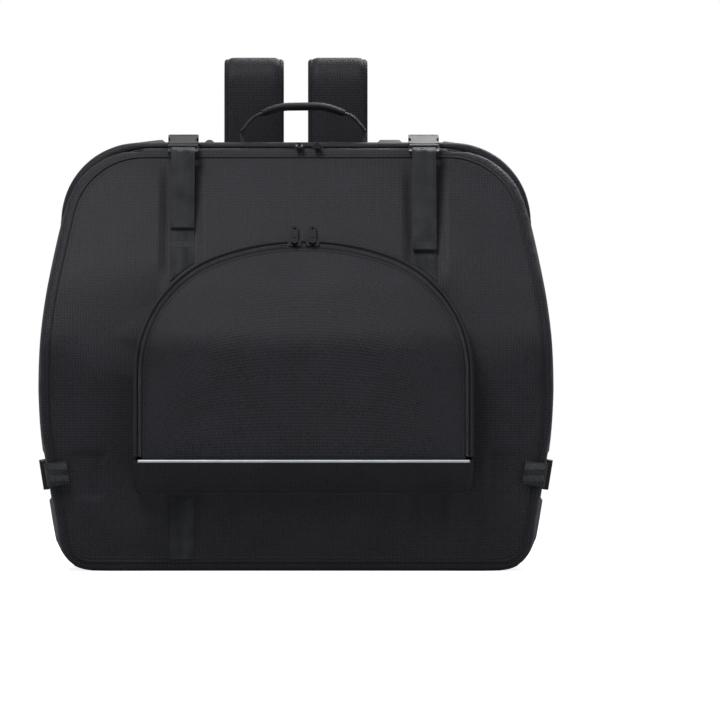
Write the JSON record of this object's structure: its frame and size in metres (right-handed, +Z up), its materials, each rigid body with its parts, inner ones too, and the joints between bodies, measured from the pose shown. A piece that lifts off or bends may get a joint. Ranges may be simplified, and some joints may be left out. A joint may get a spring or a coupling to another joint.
{
  "type": "accordion case",
  "caption": "Soft padded clamshell case with zipped halves, an arched zip pocket, side-release buckles, a carry handle and backpack straps.",
  "frame": {"origin": "middle of the fold between the two halves, on the floor", "axes": "+Z up, +X to the right seen from the front, the pocket faces -Y"},
  "size_m": [0.5438, 0.3423, 0.546],
  "materials": {
    "binding_tape": "bound cord",
    "buckle_plastic": "dark acetal, satin gloss",
    "lining_nylon": "glossy woven nylon",
    "oxford_fabric": "woven, slightly coated",
    "padding_foam": "closed-cell foam",
    "reflective_cord": "silver reflective",
    "strap_fabric": "woven with bound edges",
    "webbing": "ribbed weave",
    "zip_metal": "black gloss enamel",
    "zip_tape": "herringbone tape with a nylon coil"
  },
  "bodies": {
    "back_half": {"back_panel": "oxford_fabric", "back_panel_foam": "padding_foam", "back_gusset": "oxford_fabric", "back_gusset_foam": "padding_foam", "back_base": "oxford_fabric", "back_base_foam": "padding_foam", "back_lining": "lining_nylon", "back_zip_side": "zip_tape", "back_piping": "binding_tape", "anchor_webbing": "webbing", "strap_anchors": "strap_fabric", "top_left_socket": "buckle_plastic", "top_right_socket": "buckle_plastic", "side_left_socket": "buckle_plastic", "side_right_socket": "buckle_plastic"},
    "front_half": {"front_panel": "oxford_fabric", "front_panel_foam": "padding_foam", "front_gusset": "oxford_fabric", "front_gusset_foam": "padding_foam", "front_base": "oxford_fabric", "front_base_foam": "padding_foam", "front_lining": "lining_nylon", "front_zip_side": "zip_tape", "front_piping": "binding_tape", "front_webbing": "webbing", "side_webbing": "webbing", "left_tail": "webbing", "right_tail": "webbing", "pocket_gusset": "oxford_fabric", "pocket_zip_side": "zip_tape", "reflective_piping": "reflective_cord", "top_left_clip": "buckle_plastic", "top_right_clip": "buckle_plastic", "side_left_clip": "buckle_plastic", "side_right_clip": "buckle_plastic"},
    "pocket_flap": {"pocket_flap": "oxford_fabric", "flap_zip_side": "zip_tape"},
    "carry_handle": {"carry_handle": "webbing"},
    "left_shoulder_strap": {"left_shoulder_pad": "strap_fabric", "left_strap_adjuster": "buckle_plastic"},
    "left_lower_webbing": {"left_strap_webbing": "webbing"},
    "right_shoulder_strap": {"right_shoulder_pad": "strap_fabric", "right_strap_adjuster": "buckle_plastic"},
    "right_lower_webbing": {"right_strap_webbing": "webbing"},
    "top_left_prong_a": {"top_left_prong_a": "buckle_plastic"},
    "top_left_prong_b": {"top_left_prong_b": "buckle_plastic"},
    "top_right_prong_a": {"top_right_prong_a": "buckle_plastic"},
    "top_right_prong_b": {"top_right_prong_b": "buckle_plastic"},
    "side_left_prong_a": {"side_left_prong_a": "buckle_plastic"},
    "side_left_prong_b": {"side_left_prong_b": "buckle_plastic"},
    "side_right_prong_a": {"side_right_prong_a": "buckle_plastic"},
    "side_right_prong_b": {"side_right_prong_b": "buckle_plastic"},
    "main_zip_slider_left": {"main_zip_slider_left": "zip_metal"},
    "main_zip_pull_left": {"main_zip_pull_left": "zip_metal"},
    "pocket_zip_slider_left": {"pocket_zip_slider_left": "zip_metal"},
    "pocket_zip_pull_left": {"pocket_zip_pull_left": "zip_metal"},
    "main_zip_slider_right": {"main_zip_slider_right": "zip_metal"},
    "main_zip_pull_right": {"main_zip_pull_right": "zip_metal"},
    "pocket_zip_slider_right": {"pocket_zip_slider_right": "zip_metal"},
    "pocket_zip_pull_right": {"pocket_zip_pull_right": "zip_metal"}
  },
  "joints": [
    {"name": "case_hinge", "type": "hinge", "parent": "back_half", "child": "front_half", "pos_m": [0, 0, 0], "axis": [1, 0, 0], "range_deg": [0, 175]},
    {"name": "pocket_flap_hinge", "type": "hinge", "parent": "front_half", "child": "pocket_flap", "pos_m": [0.008, -0.16667, 0.1165], "axis": [1, 0, 0], "range_deg": [0, 110]},
    {"name": "handle_swing", "type": "hinge", "parent": "back_half", "child": "carry_handle", "pos_m": [0.008, 0.042, 0.46215], "axis": [1, 0, 0], "range_deg": [-45, 45]},
    {"name": "left_strap_lift", "type": "hinge", "parent": "back_half", "child": "left_shoulder_strap", "pos_m": [-0.045, 0.11815, 0.435], "axis": [1, 0, 0], "range_deg": [0, 20]},
    {"name": "left_webbing_swing", "type": "hinge", "parent": "back_half", "child": "left_lower_webbing", "pos_m": [-0.045, 0.1186, 0.054], "axis": [1, 0, 0], "range_deg": [-28, 0]},
    {"name": "right_strap_lift", "type": "hinge", "parent": "back_half", "child": "right_shoulder_strap", "pos_m": [0.045, 0.11815, 0.435], "axis": [1, 0, 0], "range_deg": [0, 20]},
    {"name": "right_webbing_swing", "type": "hinge", "parent": "back_half", "child": "right_lower_webbing", "pos_m": [0.045, 0.1186, 0.054], "axis": [1, 0, 0], "range_deg": [-28, 0]},
    {"name": "top_left_squeeze_a", "type": "hinge", "parent": "front_half", "child": "top_left_prong_a", "pos_m": [-0.1273, -0.02351, 0.44436], "axis": [0, -0.3746, 0.9272], "range_deg": [-10, 0], "stiffness_Nm_per_rad": 0.05},
    {"name": "top_left_squeeze_b", "type": "hinge", "parent": "front_half", "child": "top_left_prong_b", "pos_m": [-0.1107, -0.02351, 0.44436], "axis": [0, -0.3746, 0.9272], "range_deg": [0, 10], "stiffness_Nm_per_rad": 0.05},
    {"name": "top_right_squeeze_a", "type": "hinge", "parent": "front_half", "child": "top_right_prong_a", "pos_m": [0.1267, -0.02351, 0.44436], "axis": [0, -0.3746, 0.9272], "range_deg": [-10, 0], "stiffness_Nm_per_rad": 0.05},
    {"name": "top_right_squeeze_b", "type": "hinge", "parent": "front_half", "child": "top_right_prong_b", "pos_m": [0.1433, -0.02351, 0.44436], "axis": [0, -0.3746, 0.9272], "range_deg": [0, 10], "stiffness_Nm_per_rad": 0.05},
    {"name": "side_left_squeeze_a", "type": "hinge", "parent": "front_half", "child": "side_left_prong_a", "pos_m": [-0.26361, -0.00585, 0.09086], "axis": [-0.9874, 0, -0.158], "range_deg": [-10, 0], "stiffness_Nm_per_rad": 0.05},
    {"name": "side_left_squeeze_b", "type": "hinge", "parent": "front_half", "child": "side_left_prong_b", "pos_m": [-0.26624, -0.00585, 0.10725], "axis": [-0.9874, 0, -0.158], "range_deg": [0, 10], "stiffness_Nm_per_rad": 0.05},
    {"name": "side_right_squeeze_a", "type": "hinge", "parent": "front_half", "child": "side_right_prong_a", "pos_m": [0.26624, -0.00585, 0.10725], "axis": [0.9874, 0, -0.158], "range_deg": [-10, 0], "stiffness_Nm_per_rad": 0.05},
    {"name": "side_right_squeeze_b", "type": "hinge", "parent": "front_half", "child": "side_right_prong_b", "pos_m": [0.26361, -0.00585, 0.09086], "axis": [0.9874, 0, -0.158], "range_deg": [0, 10], "stiffness_Nm_per_rad": 0.05},
    {"name": "main_zip_run_left", "type": "slide", "parent": "back_half", "child": "main_zip_slider_left", "axis": [-1, 0, 0], "range_m": [0, 0.095]},
    {"name": "main_zip_pull_turn_left", "type": "hinge", "parent": "main_zip_slider_left", "child": "main_zip_pull_left", "pos_m": [0.0035, 0, 0.4473], "axis": [1, 0, 0], "range_deg": [-100, 0]},
    {"name": "pocket_zip_run_left", "type": "hinge", "parent": "pocket_flap", "child": "pocket_zip_slider_left", "pos_m": [0.008, -0.22311, 0.18298], "axis": [0, -0.7793, 0.6267], "range_deg": [0, 12]},
    {"name": "pocket_zip_pull_turn_left", "type": "hinge", "parent": "pocket_zip_slider_left", "child": "pocket_zip_pull_left", "pos_m": [-0.0015, -0.09837, 0.34352], "axis": [1, 0, 0], "range_deg": [0, 194]},
    {"name": "main_zip_run_right", "type": "slide", "parent": "back_half", "child": "main_zip_slider_right", "axis": [1, 0, 0], "range_m": [0, 0.085]},
    {"name": "main_zip_pull_turn_right", "type": "hinge", "parent": "main_zip_slider_right", "child": "main_zip_pull_right", "pos_m": [0.0225, 0, 0.4473], "axis": [1, 0, 0], "range_deg": [-100, 0]},
    {"name": "pocket_zip_run_right", "type": "hinge", "parent": "pocket_flap", "child": "pocket_zip_slider_right", "pos_m": [0.008, -0.22311, 0.18298], "axis": [0, 0.7793, -0.6267], "range_deg": [0, 12]},
    {"name": "pocket_zip_pull_turn_right", "type": "hinge", "parent": "pocket_zip_slider_right", "child": "pocket_zip_pull_right", "pos_m": [0.0175, -0.09837, 0.34352], "axis": [1, 0, 0], "range_deg": [0, 194]}
  ],
  "couplings": [
    {"joint": "left_webbing_swing", "follows": "left_strap_lift", "ratio": -1.37},
    {"joint": "right_webbing_swing", "follows": "right_strap_lift", "ratio": -1.37},
    {"joint": "top_left_squeeze_a", "follows": "top_left_squeeze_b", "ratio": -1},
    {"joint": "top_right_squeeze_a", "follows": "top_right_squeeze_b", "ratio": -1},
    {"joint": "side_left_squeeze_a", "follows": "side_left_squeeze_b", "ratio": -1},
    {"joint": "side_right_squeeze_a", "follows": "side_right_squeeze_b", "ratio": -1}
  ]
}
